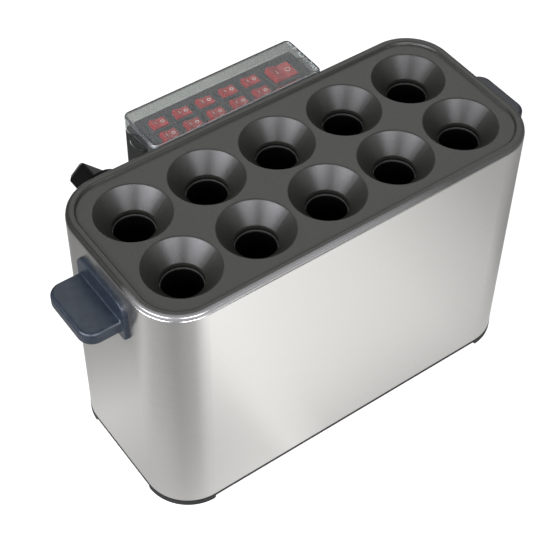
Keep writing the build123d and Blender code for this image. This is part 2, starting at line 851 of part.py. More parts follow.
# thermostat: behind the rear wall, its bushing through it, the knob outside
inner_rear = rear_wall - housing_wall
thermostat_body_depth = inner_rear - tube_pitch_y / 2 - heater_outer - thermostat_heater_gap
with BuildPart() as thermostat_body:
    with BuildSketch(facing_rear(thermostat_x, inner_rear, thermostat_height)):
        RectangleRounded(thermostat_body_length, thermostat_body_height, thermostat_body_round)
    extrude(amount=-thermostat_body_depth)
    with BuildSketch(facing_rear(thermostat_x, inner_rear, thermostat_height)):
        Circle(bushing_diameter / 2)
    extrude(amount=housing_wall + bushing_reach)
    with BuildSketch(facing_rear(thermostat_x, rear_wall + bushing_reach, thermostat_height)):
        Circle(shaft_diameter / 2 + shaft_gap)
    extrude(amount=-(shaft_inside + bushing_reach + seat_gap), mode=Mode.SUBTRACT)
save(thermostat_body.part, "thermostat_body")

with BuildPart() as thermostat_nut:
    with BuildSketch(facing_rear(thermostat_x, rear_wall, thermostat_height)):
        RegularPolygon(bushing_nut_across / 2, 6, major_radius=False)
        Circle(bushing_diameter / 2 + screw_gap, mode=Mode.SUBTRACT)
    extrude(amount=bushing_nut_height)
save(thermostat_nut.part, "thermostat_nut")

knob_base = rear_wall + knob_gap
shaft_end = knob_base + knob_recess_depth + shaft_grip
knob_end = knob_base + knob_height
with BuildPart() as thermostat_shaft:
    with BuildSketch(facing_rear(thermostat_x, shaft_end, thermostat_height)):
        Circle(shaft_diameter / 2)
    extrude(amount=-(shaft_end - rear_wall + shaft_inside))
save(thermostat_shaft.part, "thermostat_shaft")

with BuildPart() as thermostat_knob:
    with BuildSketch(facing_rear(thermostat_x, knob_base, thermostat_height)):
        Circle(knob_skirt_diameter / 2)
    extrude(amount=knob_skirt_height, taper=knob_skirt_taper)
    fillet(thermostat_knob.faces().sort_by(Axis.Y)[-1].edges(), knob_round)
    with BuildSketch(facing_rear(thermostat_x, knob_base + knob_recess_depth, thermostat_height)):
        RectangleRounded(knob_grip_length, knob_grip_width, knob_grip_corner, rotation=knob_angle)
    extrude(amount=knob_height - knob_recess_depth - knob_crown_height)
    with BuildSketch(facing_rear(thermostat_x, knob_end - knob_crown_height, thermostat_height)):
        RectangleRounded(knob_grip_length, knob_grip_width, knob_grip_corner, rotation=knob_angle)
    with BuildSketch(facing_rear(thermostat_x, knob_end, thermostat_height)):
        RectangleRounded(knob_crown_length, knob_crown_width, knob_crown_corner, rotation=knob_angle)
    loft()
    fillet(thermostat_knob.faces().sort_by(Axis.Y)[-1].edges(), knob_round)
    with BuildSketch(facing_rear(thermostat_x, knob_base, thermostat_height)):
        Circle(knob_recess_diameter / 2)
    extrude(amount=knob_recess_depth, mode=Mode.SUBTRACT)
    with BuildSketch(facing_rear(thermostat_x, knob_base + knob_recess_depth, thermostat_height)):
        Circle(shaft_diameter / 2 + shaft_gap)
    extrude(amount=shaft_grip, mode=Mode.SUBTRACT)
save(thermostat_knob.part, "thermostat_knob")

# mains inlet gland, its nut inside, and the terminal block on the base
with BuildPart() as cable_gland:
    with BuildSketch(facing_rear(gland_x, rear_wall, gland_height)):
        RegularPolygon(gland_collar_across / 2, 6, major_radius=False)
    extrude(amount=gland_collar_height)
    with BuildSketch(facing_rear(gland_x, rear_wall + gland_collar_height, gland_height)):
        Circle(gland_dome_diameter / 2)
    extrude(amount=gland_dome_height)
    fillet(cable_gland.faces().sort_by(Axis.Y)[-1].edges(), gland_dome_round)
    with BuildSketch(facing_rear(gland_x, rear_wall, gland_height)):
        Circle(gland_thread_diameter / 2)
    extrude(amount=-(housing_wall + gland_inside))
    with BuildSketch(facing_rear(gland_x, inner_rear - gland_inside, gland_height)):
        Circle(gland_bore / 2)
    extrude(amount=gland_inside + housing_wall + gland_collar_height + gland_dome_height, mode=Mode.SUBTRACT)
save(cable_gland.part, "cable_gland")

with BuildPart() as gland_nut:
    with BuildSketch(facing_rear(gland_x, inner_rear, gland_height)):
        RegularPolygon(gland_collar_across / 2, 6, major_radius=False)
        Circle(gland_thread_diameter / 2 + screw_gap, mode=Mode.SUBTRACT)
    extrude(amount=-gland_nut_height)
save(gland_nut.part, "gland_nut")

with BuildPart() as terminal_block:
    with BuildSketch(at(block_x, 0, base_top)):
        Rectangle(block_width, block_length)
    extrude(amount=block_height)
    fillet(terminal_block.edges().filter_by(Axis.Z), block_round)
    with BuildSketch(at(block_x, 0, base_top)):
        Rectangle(block_ear_width, block_screw_spread + block_ear_width)
    extrude(amount=block_ear_height)
    with BuildSketch(at(block_x, 0, base_top)):
        with GridLocations(0, block_screw_spread, 1, 2):
            Circle(screw_hole)
    extrude(amount=block_ear_height, mode=Mode.SUBTRACT)
    with BuildSketch(at(block_x, 0, base_top + block_height)):
        with GridLocations(0, block_entry_pitch, 1, block_poles):
            Circle(block_well_diameter / 2)
    extrude(amount=-block_well_depth, mode=Mode.SUBTRACT)
    with BuildSketch(facing_side(1, block_x + block_width / 2, 0, base_top + block_height / 2)):
        with GridLocations(block_entry_pitch, 0, block_poles, 1):
            Circle(block_entry_diameter / 2)
    extrude(amount=-block_entry_depth, mode=Mode.SUBTRACT)
save(terminal_block.part, "terminal_block")

block_screw_plane = Plane(
    origin=(block_x, body_y, base_top + block_ear_height),
    x_dir=(1, 0, 0),
    z_dir=(0, 0, -1),
)
block_screw_spots = [(0, -block_screw_spread / 2), (0, block_screw_spread / 2)]
save(
    screw_set([block_screw_plane], block_screw_spots, block_ear_height + base_thickness + screw_tail / 2),
    "terminal_screws",
)
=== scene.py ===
import math

import bpy
from mathutils import Euler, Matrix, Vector


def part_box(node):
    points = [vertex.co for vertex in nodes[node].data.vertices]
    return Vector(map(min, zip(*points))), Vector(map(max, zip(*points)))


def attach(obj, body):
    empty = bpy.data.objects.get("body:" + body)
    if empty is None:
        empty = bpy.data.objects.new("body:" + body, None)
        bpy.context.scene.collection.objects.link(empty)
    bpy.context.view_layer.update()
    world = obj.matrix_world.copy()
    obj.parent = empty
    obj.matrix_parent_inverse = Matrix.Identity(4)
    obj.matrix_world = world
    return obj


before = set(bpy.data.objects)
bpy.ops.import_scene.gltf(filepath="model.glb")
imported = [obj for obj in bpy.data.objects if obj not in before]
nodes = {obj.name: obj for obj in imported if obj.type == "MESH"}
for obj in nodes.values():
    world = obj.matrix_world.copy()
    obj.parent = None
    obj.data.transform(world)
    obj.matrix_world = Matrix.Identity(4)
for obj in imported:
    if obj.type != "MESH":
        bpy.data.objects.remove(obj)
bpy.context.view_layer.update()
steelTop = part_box("housing")[1].z
plateLow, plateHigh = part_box("mould_plate")
rockers = [f"rocker_{row}_{i}" for row in ("front", "rear") for i in range(1, 6)] + ["main_rocker"]
print("frame loaded")


def toLinear(code):
    # sRGB hex to linear
    parts = [int(code[i:i + 2], 16) / 255 for i in (1, 3, 5)]
    return tuple(p / 12.92 if p <= 0.04045 else ((p + 0.055) / 1.055) ** 2.4 for p in parts) + (1.0,)


def perMm(size):
    # texture scale that gives features of this many millimetres
    return 1000.0 / size


def setInputs(tree, node, inputs):
    # by name, or in order; a node stands for its first output in use, and a hex colour turns linear
    for key, value in inputs.items() if isinstance(inputs, dict) else enumerate(inputs):
        if isinstance(value, bpy.types.Node):
            value = next(socket for socket in value.outputs if socket.enabled)
        if isinstance(value, bpy.types.NodeSocket):
            tree.links.new(value, node.inputs[key])
        else:
            node.inputs[key].default_value = toLinear(value) if isinstance(value, str) else value


def addNode(tree, kind, inputs=None, **settings):
    # a Mix node's inputs are 0 for the factor, 2 and 3 for plain values, 6 and 7 for colours, and a
    # Map Range's are the value, the two ends it comes from and the two ends it goes to
    node = tree.nodes.new(kind)
    for key, value in settings.items():
        setattr(node, key, value)
    setInputs(tree, node, inputs or {})
    return node


def newMaterial(name, color):
    material = bpy.data.materials.new(name)
    material.use_nodes = True
    material.diffuse_color = toLinear(color)
    tree = material.node_tree
    shader = tree.nodes["Principled BSDF"]
    setInputs(tree, shader, {"Base Color": color})
    return material, tree, shader


def objectPoint(tree, scale=(1, 1, 1)):
    # object coordinates in metres, squeezed along an axis where asked
    source = addNode(tree, "ShaderNodeTexCoord")
    return addNode(tree, "ShaderNodeMapping", {"Vector": source.outputs["Object"], "Scale": scale})


def patches(tree, point, size, detail=3.0, roughness=0.5, span=(0.3, 0.7)):
    # noise with features of this many millimetres: as it is, and stretched to run from 0 to 1
    noise = addNode(
        tree, "ShaderNodeTexNoise",
        {"Vector": point, "Scale": perMm(size), "Detail": detail, "Roughness": roughness},
    )
    return noise, addNode(tree, "ShaderNodeMapRange", (noise, *span))


def edgeReach(tree, point, low, high, corner):
    # distance out from a rounded rectangle's inner core: equals the corner radius at its outline
    middle = (low + high) / 2
    tall = 9.0  # leaves the height out
    core = ((high.x - low.x) / 2 - corner, (high.y - low.y) / 2 - corner, tall)
    centred = addNode(tree, "ShaderNodeVectorMath", (point, (middle.x, middle.y, 0)), operation="SUBTRACT")
    folded = addNode(tree, "ShaderNodeVectorMath", (centred,), operation="ABSOLUTE")
    beyond = addNode(tree, "ShaderNodeVectorMath", (folded, core), operation="SUBTRACT")
    clipped = addNode(tree, "ShaderNodeVectorMath", (beyond, (0, 0, 0)), operation="MAXIMUM")
    return addNode(tree, "ShaderNodeVectorMath", (clipped,), operation="LENGTH")


def plainlySeen(tree):
    # 1 for what the camera sees, straight or through the clear cover
    path = addNode(tree, "ShaderNodeLightPath").outputs
    return addNode(
        tree, "ShaderNodeMath", (path["Is Camera Ray"], path["Is Transmission Ray"]), operation="MAXIMUM",
    )


def dress(names, material):
    for name in names:
        mesh = nodes[name].data
        mesh.materials.clear()
        mesh.materials.append(material)


# brushed stainless sheet: fine lines round the wall spread each reflection up and down; they are
# drawn 0.35 mm apart, coarser than real ones, so that they show
steelLook = {
    "base": "#cfcecb", "dark": "#c8c7c4", "roughness": (0.27, 0.33),
    "brush": {"size": 0.35, "detail": 5.0, "roughness": 0.65}, "squeeze": (0.02, 0.02, 1.0),
    "bump": {"Strength": 0.03, "Distance": 0.00002},
    "spread": {"Anisotropic": 0.8, "Anisotropic Rotation": 0.25},
    "underRimShade": "#bcbbb8", "underRimShadeFade": (0.0012, 0.0006),  # painted shade on the steel's top edge under the rim
}


def brushedStainless():
    material, tree, shader = newMaterial("brushedStainless", steelLook["base"])
    brush, shade = patches(tree, objectPoint(tree, steelLook["squeeze"]), **steelLook["brush"])
    sheet = addNode(
        tree, "ShaderNodeMix", {0: shade, 6: steelLook["dark"], 7: steelLook["base"]}, data_type="RGBA",
    )
    height = addNode(tree, "ShaderNodeSeparateXYZ", (objectPoint(tree),)).outputs["Z"]
    # painted shade under the rim: the steel turns darker just below its top
    far, near = steelLook["underRimShadeFade"]
    underRimShadeMask = addNode(tree, "ShaderNodeMapRange", (height, steelTop - far, steelTop - near))
    color = addNode(tree, "ShaderNodeMix", {0: underRimShadeMask, 6: sheet, 7: steelLook["underRimShade"]}, data_type="RGBA")
    setInputs(tree, shader, {
        "Base Color": color,
        "Metallic": 1.0,
        "Roughness": addNode(tree, "ShaderNodeMapRange", (shade, 0.0, 1.0, *steelLook["roughness"])),
        "Tangent": addNode(tree, "ShaderNodeTangent", direction_type="RADIAL", axis="Z"),
        "Normal": addNode(tree, "ShaderNodeBump", {"Height": brush, **steelLook["bump"]}),
        **steelLook["spread"],
    })
    return material


dress(["housing"], brushedStainless())

# non-stick coating on cast aluminium: near black, faintly flecked, with an orange-peel skin;
# a painted highlight makes the rolled rim paler and more metallic along the front; painted shade
# darkens the throats; the flecks are drawn 0.9 mm wide, coarser than real ones, so that they show
coatLook = {
    "base": "#1f1f1b", "fleck": "#3a3a35", "rim": "#8c8c8b", "throatShade": "#0b0b0a",
    "roughness": (0.38, 0.45), "rimRoughness": 0.22, "rimMetal": 0.5,
    "flecks": {"size": 0.9, "roughness": 0.75, "span": (0.55, 0.75)}, "peel": {"size": 1.2, "detail": 2.0},
    "bump": {"Strength": 0.3, "Distance": 0.00006},
    "corner": 0.0415, "band": 0.0038, "bandFade": 0.0016,
    "highlightAcross": (0.02, 0.06), "highlightAlong": (-0.05, 0.09), "leastHighlight": 0.15,
    "cone": 0.0172, "throatFade": (0.0012, 0.0004),
    "gloss": (0.2, 0.65), "outerGloss": 0.55, "outerBand": (0.004, 0.001),
}


def nonStickCoating():
    material, tree, shader = newMaterial("nonStickCoating", coatLook["base"])
    point = objectPoint(tree)
    place = addNode(tree, "ShaderNodeSeparateXYZ", (point,)).outputs
    flecked = patches(tree, point, **coatLook["flecks"])[1]
    peel, skinned = patches(tree, point, **coatLook["peel"])
    skin = addNode(
        tree, "ShaderNodeMix", {0: flecked, 6: coatLook["base"], 7: coatLook["fleck"]}, data_type="RGBA",
    )

    # painted shade: the throats below the cones are darkened
    coneEnd = steelTop - coatLook["cone"]
    below, above = coatLook["throatFade"]
    inThroat = addNode(
        tree, "ShaderNodeMapRange", (place["Z"], coneEnd - below, coneEnd + above, 1.0, 0.0),
    )
    throated = addNode(tree, "ShaderNodeMix", {0: inThroat, 6: skin, 7: coatLook["throatShade"]}, data_type="RGBA")

    # painted highlight on the rim: paler and more metallic, most at the front left
    corner = coatLook["corner"]
    reach = edgeReach(tree, point, plateLow, plateHigh, corner)
    bandStart = corner - coatLook["band"]
    onRim = addNode(tree, "ShaderNodeMapRange", (reach, bandStart, bandStart + coatLook["bandFade"]))
    near, far = coatLook["highlightAcross"]
    atFront = addNode(
        tree, "ShaderNodeMapRange", (place["Y"], plateLow.y + near, plateLow.y + far, 1.0, 0.0),
    )
    atLeft = addNode(
        tree, "ShaderNodeMapRange", (place["X"], *coatLook["highlightAlong"], 1.0, coatLook["leastHighlight"]),
    )
    wearAndSheen = addNode(tree, "ShaderNodeMath", (atFront, atLeft), operation="MULTIPLY")
    rimHighlight = addNode(tree, "ShaderNodeMath", (onRim, wearAndSheen), operation="MULTIPLY")

    # the gloss fades down the cones and round the rim's outer side
    down = addNode(tree, "ShaderNodeMapRange", (place["Z"], coneEnd, steelTop, *coatLook["gloss"]))
    inner, outer = coatLook["outerBand"]
    around = addNode(
        tree, "ShaderNodeMapRange",
        (reach, corner - inner, corner - outer, 1.0, coatLook["outerGloss"]),
    )
    satin = addNode(tree, "ShaderNodeMapRange", (skinned, 0.0, 1.0, *coatLook["roughness"]))
    setInputs(tree, shader, {
        "Base Color": addNode(
            tree, "ShaderNodeMix", {0: rimHighlight, 6: throated, 7: coatLook["rim"]}, data_type="RGBA",
        ),
        "Metallic": addNode(tree, "ShaderNodeMath", (rimHighlight, coatLook["rimMetal"]), operation="MULTIPLY"),
        "Specular IOR Level": addNode(tree, "ShaderNodeMath", (down, around), operation="MULTIPLY"),
        "Roughness": addNode(tree, "ShaderNodeMix", {0: rimHighlight, 2: satin, 3: coatLook["rimRoughness"]}),
        "Normal": addNode(tree, "ShaderNodeBump", {"Height": peel, **coatLook["bump"]}),
    })
    return material


dress(["mould_plate", "funnels_front", "funnels_rear"], nonStickCoating())

# steel tube, near black below its lip; the lip's paler colour is a painted highlight
tubeLook = {
    "base": "#2a2a29", "inside": "#0b0b0b", "lip": "#5c5c59", "metal": 0.6,
    "roughness": (0.32, 0.45), "stains": {"size": 2.5}, "lipFade": (0.0016, 0.0004),
}


def darkTube():
    material, tree, shader = newMaterial("darkTube", tubeLook["base"])
    point = objectPoint(tree)
    height = addNode(tree, "ShaderNodeSeparateXYZ", (point,)).outputs["Z"]
    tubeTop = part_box("cooking_tube_front_1")[1].z
    far, near = tubeLook["lipFade"]
    # painted highlight: the colour turns paler at the top of the tube
    atLip = addNode(tree, "ShaderNodeMapRange", (height, tubeTop - far, tubeTop - near))
    stained = patches(tree, point, **tubeLook["stains"])[1]
    setInputs(tree, shader, {
        "Base Color": addNode(
            tree, "ShaderNodeMix", {0: atLip, 6: tubeLook["inside"], 7: tubeLook["lip"]}, data_type="RGBA",
        ),
        "Metallic": tubeLook["metal"],
        "Roughness": addNode(tree, "ShaderNodeMapRange", (stained, 0.0, 1.0, *tubeLook["roughness"])),
    })
    return material


dress([f"cooking_tube_{row}_{i}" for row in ("front", "rear") for i in range(1, 6)], darkTube())

# zinc plate on screws, rods, nuts and the carrier: pale and cool, with a soft mottle; its pits
# are drawn coarser than real ones, so that they show
zincLook = {
    "base": "#b4b5b2", "dark": "#96978f", "roughness": (0.25, 0.45),
    "mottle": {"size": 3.0, "detail": 4.0}, "pits": {"size": 0.4},
    "bump": {"Strength": 0.1, "Distance": 0.00002},
    "pieces": [
        "tube_carrier", "tie_rods", "tie_rod_nuts", "base_screws", "handle_screws", "switch_box_screws",
        "thermostat_body", "thermostat_nut", "thermostat_shaft", "terminal_screws",
        "heater_bands_front", "heater_bands_rear",
    ],
}


def zincPlate():
    material, tree, shader = newMaterial("zincPlate", zincLook["base"])
    point = objectPoint(tree)
    mottle = patches(tree, point, **zincLook["mottle"])[1]
    pits = patches(tree, point, **zincLook["pits"])[0]
    setInputs(tree, shader, {
        "Base Color": addNode(
            tree, "ShaderNodeMix", {0: mottle, 6: zincLook["dark"], 7: zincLook["base"]}, data_type="RGBA",
        ),
        "Metallic": 1.0,
        "Roughness": addNode(tree, "ShaderNodeMapRange", (mottle, 0.0, 1.0, *zincLook["roughness"])),
        "Normal": addNode(tree, "ShaderNodeBump", {"Height": pits, **zincLook["bump"]}),
    })
    return material


dress(zincLook["pieces"], zincPlate())


# what the moulded plastics share unless their own look says otherwise; the grain is drawn at half
# a millimetre or more, coarser than a real one, so that it shows
sharedPlastic = {
    "grain": 0.5, "detail": 2.0, "strength": 0.15, "depth": 0.00004, "gloss": 0.5, "broad": {"size": 25.0},
}


def mouldedPlastic(look):
    # two close shades in broad patches, and a fine grain that takes the edge off the shine
    look = {**sharedPlastic, **look}
    material, tree, shader = newMaterial(look["name"], look["base"])
    point = objectPoint(tree)
    grain, fine = patches(tree, point, look["grain"], look["detail"])
    broad = patches(tree, point, **look["broad"])[1]
    bump = {"Height": grain, "Strength": look["strength"], "Distance": look["depth"]}
    setInputs(tree, shader, {
        "Base Color": addNode(
            tree, "ShaderNodeMix", {0: broad, 6: look["base"], 7: look["pale"]}, data_type="RGBA",
        ),
        "Roughness": addNode(tree, "ShaderNodeMapRange", (fine, 0.0, 1.0, *look["roughness"])),
        "Specular IOR Level": look["gloss"],
        "Normal": addNode(tree, "ShaderNodeBump", bump),
    })
    return material


feet = [f"foot_{row}_{hand}" for row in ("front", "rear") for hand in ("left", "right")]
plasticLooks = (
    # moulded nylon handles: slate, with a soft even shine on their rounded edges
    {
        "name": "handleNylon", "base": "#171e27", "pale": "#232c36", "roughness": (0.3, 0.46),
        "broad": {"size": 7.0, "detail": 5.0, "roughness": 0.65}, "pieces": ["handle_left", "handle_right"],
    },
    # moulded ABS box and gland: black, matt from a spark-eroded mould
    {
        "name": "boxAbs", "base": "#0c0c0c", "pale": "#121212", "roughness": (0.45, 0.58), "gloss": 0.2,
        "pieces": ["switch_box", "cable_gland", "gland_nut"],
    },
    # phenolic knob: the deepest black on the object, with hardly a reflection
    {
        "name": "knobPhenolic", "base": "#050505", "pale": "#080808", "roughness": (0.4, 0.5), "gloss": 0.08,
        "pieces": ["thermostat_knob"],
    },
    # moulded ABS panel: charcoal, greyer than the box so that the switches stand out
    {
        "name": "panelAbs", "base": "#212329", "pale": "#292b31", "roughness": (0.4, 0.5),
        "pieces": ["switch_panel"],
    },
    # nylon switch frames: as dark as the panel, but smoother, so that their rims catch the light
    {
        "name": "frameNylon", "base": "#1f2126", "pale": "#282a2f", "roughness": (0.3, 0.42),
        "pieces": ["switch_frames_front", "switch_frames_rear", "main_switch_frame"],
    },
    # powder coat on the base plate: dull black with a coarse peel
    {
        "name": "powderCoat", "base": "#1a1a1a", "pale": "#222221", "roughness": (0.45, 0.6), "gloss": 0.3,
        "grain": 0.8, "pieces": ["base_plate"],
    },
    # moulded rubber feet: greyish black, the roughest skin of all
    {
        "name": "footRubber", "base": "#1c1c1b", "pale": "#242423", "roughness": (0.6, 0.75), "gloss": 0.3,
        "grain": 0.7, "depth": 0.00006, "pieces": feet,
    },
    # polyamide terminal block: cream, lightly yellowed by heat
    {
        "name": "terminalPolyamide", "base": "#d8d3c2", "pale": "#cfc9b5", "roughness": (0.4, 0.55),
        "pieces": ["terminal_block"],
    },
)
for look in plasticLooks:
    dress(look["pieces"], mouldedPlastic(look))

# red polycarbonate rockers: light sinks in a little under a polished face
rockerLook = {
    "base": "#c81e2c", "deep": "#b81320", "bright": "#cc2633",
    "patches": {"size": 6.0}, "ripple": {"size": 0.8}, "bump": {"Strength": 0.05, "Distance": 0.00002},
    "polish": {"Roughness": 0.22, "Coat Weight": 0.8},
    "inside": {"Subsurface Weight": 0.25, "Subsurface Scale": 0.002},
}


def rockerPolycarbonate():
    material, tree, shader = newMaterial("rockerPolycarbonate", rockerLook["base"])
    point = objectPoint(tree)
    shade = patches(tree, point, **rockerLook["patches"])[1]
    ripple = patches(tree, point, **rockerLook["ripple"])[0]
    deep, bright = rockerLook["deep"], rockerLook["bright"]
    setInputs(tree, shader, {
        "Base Color": addNode(tree, "ShaderNodeMix", {0: shade, 6: deep, 7: bright}, data_type="RGBA"),
        "Normal": addNode(tree, "ShaderNodeBump", {"Height": ripple, **rockerLook["bump"]}),
        **rockerLook["polish"],
        **rockerLook["inside"],
    })
    return material


dress(rockers, rockerPolycarbonate())

# clear moulded acrylic: greyish; painted shade darkens it where it turns at the rear and the right
# and wherever it is seen edge-on, and painted highlights make its front and left edges pale, with
# broken streaks at the right end; its IOR is a little below acrylic's 1.49, for weaker reflections on its top
coverLook = {
    "tint": "#aeb1af", "edge": "#050606", "hazeAndHighlight": "#c9ced0", "shadow": "#e8eaeb",
    "clear": {"Transmission Weight": 1.0, "Roughness": 0.02, "IOR": 1.4, "Specular IOR Level": 0.3},
    "waves": {"size": 30.0}, "bump": {"Strength": 0.05, "Distance": 0.0001},
    "corner": 0.006, "tabReach": 0.006,  # the finger tabs stick out past the end walls
    "topFade": (0.0045, 0.003), "grazing": (0.6, 0.85), "darkFade": (0.0026, 0.0016),
    "hazeShare": 0.004, "paleEdge": (0.32, 0.11), "paleFade": (0.0016, 0.0008), "paleDepth": (0.004, 0.012),
    "highlightStreaks": {"size": 3.0, "span": (0.54, 0.6)}, "streakShare": 0.45, "streakFade": (0.007, 0.0055),
}


def coverAcrylic():
    material, tree, shader = newMaterial("coverAcrylic", coverLook["tint"])
    point = objectPoint(tree)
    place = addNode(tree, "ShaderNodeSeparateXYZ", (point,)).outputs
    low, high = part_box("switch_cover")
    low.x += coverLook["tabReach"]
    high.x -= coverLook["tabReach"]
    corner = coverLook["corner"]
    away = (high - low) * 4  # a box drawn out this far has no edge on that side
    deep, shallow = coverLook["topFade"]
    atTop = addNode(tree, "ShaderNodeMapRange", (place["Z"], high.z - deep, high.z - shallow))

    # painted shade: the tint turns dark where the cover is seen edge-on, and along the rear and right edges
    # of its top
    facing = addNode(tree, "ShaderNodeLayerWeight", {"Blend": 0.5}).outputs["Facing"]
    grazing = addNode(tree, "ShaderNodeMapRange", (facing, *coverLook["grazing"]))
    inner, outer = coverLook["darkFade"]
    rearReach = edgeReach(tree, point, low - away, high, corner)
    atRear = addNode(tree, "ShaderNodeMapRange", (rearReach, corner - inner, corner - outer))
    turned = addNode(tree, "ShaderNodeMath", (atTop, atRear), operation="MULTIPLY")
    darker = addNode(tree, "ShaderNodeMath", (turned, grazing), operation="MAXIMUM")

    # painted highlights: the pale haze grows along the front and left edges and in broken streaks at the
    # right end
    inner, outer = coverLook["paleFade"]
    nearReach = edgeReach(tree, point, low, high + away, corner)
    atNear = addNode(tree, "ShaderNodeMapRange", (nearReach, corner - inner, corner - outer))
    start, end = coverLook["paleDepth"]
    fading = addNode(
        tree, "ShaderNodeMapRange", (place["Y"], low.y + start, low.y + end, *coverLook["paleEdge"]),
    )
    paleEdge = addNode(tree, "ShaderNodeMath", (atNear, fading), operation="MULTIPLY")
    start, end = coverLook["streakFade"]
    rightEnd = addNode(
        tree, "ShaderNodeMapRange",
        (place["X"], high.x - start, high.x - end, 0.0, coverLook["streakShare"]),
    )
    broken = patches(tree, point, **coverLook["highlightStreaks"])[1]
    highlightStreaks = addNode(tree, "ShaderNodeMath", (rightEnd, broken), operation="MULTIPLY")
    pale = addNode(tree, "ShaderNodeMath", (paleEdge, highlightStreaks), operation="MAXIMUM")
    paleTop = addNode(tree, "ShaderNodeMath", (pale, atTop), operation="MULTIPLY")
    share = addNode(tree, "ShaderNodeMath", (paleTop, coverLook["hazeShare"]), operation="MAXIMUM")

    waves = patches(tree, point, **coverLook["waves"])[0]
    setInputs(tree, shader, {
        "Base Color": addNode(
            tree, "ShaderNodeMix", {0: darker, 6: coverLook["tint"], 7: coverLook["edge"]}, data_type="RGBA",
        ),
        "Normal": addNode(tree, "ShaderNodeBump", {"Height": waves, **coverLook["bump"]}),
        **coverLook["clear"],
    })
    # a faint haze everywhere, made stronger where the highlights are painted
    hazeAndHighlightBsdf = addNode(tree, "ShaderNodeBsdfDiffuse", {"Color": coverLook["hazeAndHighlight"]})
    hazeAndHighlightMix = addNode(tree, "ShaderNodeMixShader", (share, shader, hazeAndHighlightBsdf))

    # light passes to the switches almost unhindered
    inShadow = addNode(tree, "ShaderNodeLightPath").outputs["Is Shadow Ray"]
    passing = addNode(tree, "ShaderNodeBsdfTransparent", {"Color": coverLook["shadow"]})
    surface = addNode(tree, "ShaderNodeMixShader", (inShadow, hazeAndHighlightMix, passing))
    setInputs(tree, tree.nodes["Material Output"], {"Surface": surface})
    return material


dress(["switch_cover"], coverAcrylic())
print("materials set")

# pad-printed ink, flat and thin: off-white and a little worn through, or black
inkLook = {
    "base": "#d9d6cd", "wearAndSheen": "#b3b0a8", "roughness": 0.55, "lift": 0.00015,
    "wear": {"size": 0.7, "detail": 4.0, "roughness": 0.7, "span": (0.5, 0.75)},
    "slot": "cream_plastic", "darkSlot": "black_plastic",
}
darkInkLook = {
    "name": "darkInk", "base": "#141414", "pale": "#1f1f1f", "roughness": (0.5, 0.6),
    "grain": 0.7, "depth": 0.00001,
}


def paleInk():
    material, tree, shader = newMaterial("whiteInk", inkLook["base"])
    wearAndSheen = patches(tree, objectPoint(tree), **inkLook["wear"])[1]
    setInputs(tree, shader, {
        "Base Color": addNode(
            tree, "ShaderNodeMix", {0: wearAndSheen, 6: inkLook["base"], 7: inkLook["wearAndSheen"]}, data_type="RGBA",
        ),
        "Roughness": inkLook["roughness"],
    })
    return material


whiteInk = paleInk()
darkInk = mouldedPlastic(darkInkLook)


def addPiece(name, mesh, body, material):
    mesh.materials.clear()
    mesh.materials.append(material)
    piece = bpy.data.objects.new(name, mesh)
    bpy.context.scene.collection.objects.link(piece)
    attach(piece, body)


def raisedMesh(name, outer, inner, centre, right, up):
    # a printed shape with the ink's thickness, between an outer and an inner line of points
    normal = right.cross(up).normalized()
    count = len(outer)
    spots, faces = [], []
    for level in (-inkLook["lift"] / 2, inkLook["lift"]):
        for line in (outer, inner):
            spots += [centre + right * x + up * y + normal * level for x, y in line]
    for i in range(count):
        j = (i + 1) % count
        lowOut, lowIn, highOut, highIn = ((ring * count + i, ring * count + j) for ring in range(4))
        faces.append((highOut[0], highOut[1], highIn[1], highIn[0]))
        faces.append((lowOut[1], lowOut[0], lowIn[0], lowIn[1]))
        faces.append((lowOut[0], lowOut[1], highOut[1], highOut[0]))
        faces.append((lowIn[1], lowIn[0], highIn[0], highIn[1]))
    mesh = bpy.data.meshes.new(name)
    mesh.from_pydata(spots, [], faces)
    mesh.validate()
    return mesh


def ringLine(radius, count=28):
    angles = [math.tau * i / count for i in range(count)]
    return [(radius * math.cos(angle), radius * math.sin(angle)) for angle in angles]


def stadiumLine(length, width):
    half = (length - width) / 2
    return [(x, y + (half if y >= 0 else -half)) for x, y in ringLine(width / 2)]


# on and off marks on the two faces of every rocker
markLook = {
    "small": 0.0034, "large": 0.0052, "stroke": 0.0007, "slit": 0.4, "slitWidth": 0.1, "upright": 0.9,
}


def topFaces(name):
    # the two largest flat faces that look up: each one's tilt, and its centre
    facets = {}
    for face in nodes[name].data.polygons:
        if face.normal.z > markLook["upright"]:
            key = round(face.normal.x, 1)
            total, centre = facets.get(key, (0.0, Vector()))
            facets[key] = (total + face.area, centre + face.center * face.area)
    largest = sorted(facets.items(), key=lambda item: item[1][0])[-2:]
    return [(key, centre / total) for key, (total, centre) in largest]


for name in rockers:
    rockerLow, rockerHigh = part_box(name)
    size = markLook["large" if name == "main_rocker" else "small"]
    stroke = markLook["stroke"]
    for tilt, centre in topFaces(name):
        normal = Vector((tilt, 0, math.sqrt(1 - tilt * tilt)))
        across = Vector((0, 1, 0))
        along = normal.cross(across)
        if centre.x > (rockerLow.x + rockerHigh.x) / 2:
            label = "off"
            outer, inner = ringLine(size / 2), ringLine(size / 2 - stroke)
        else:
            label = "on"
            outer = stadiumLine(size, stroke)
            inner = stadiumLine(size * markLook["slit"], stroke * markLook["slitWidth"])
        mesh = raisedMesh(f"{name}_{label}", outer, inner, centre, along, across)
        addPiece(f"{name}_{label}_mark", mesh, name, whiteInk)
print("rocker marks made")

# heat scale on the skirt of the knob: two arcs of marks that grow with the heat
dialLook = {
    "count": 14, "radius": 0.0172, "step": 15.0, "length": 0.0034, "width": 0.0006,
    "grip": 46.5, "skirt": 0.007, "least": 0.35, "growth": 0.75, "wider": 0.5,
}
knobLow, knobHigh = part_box("thermostat_knob")
dialCentre = (knobLow + knobHigh) / 2


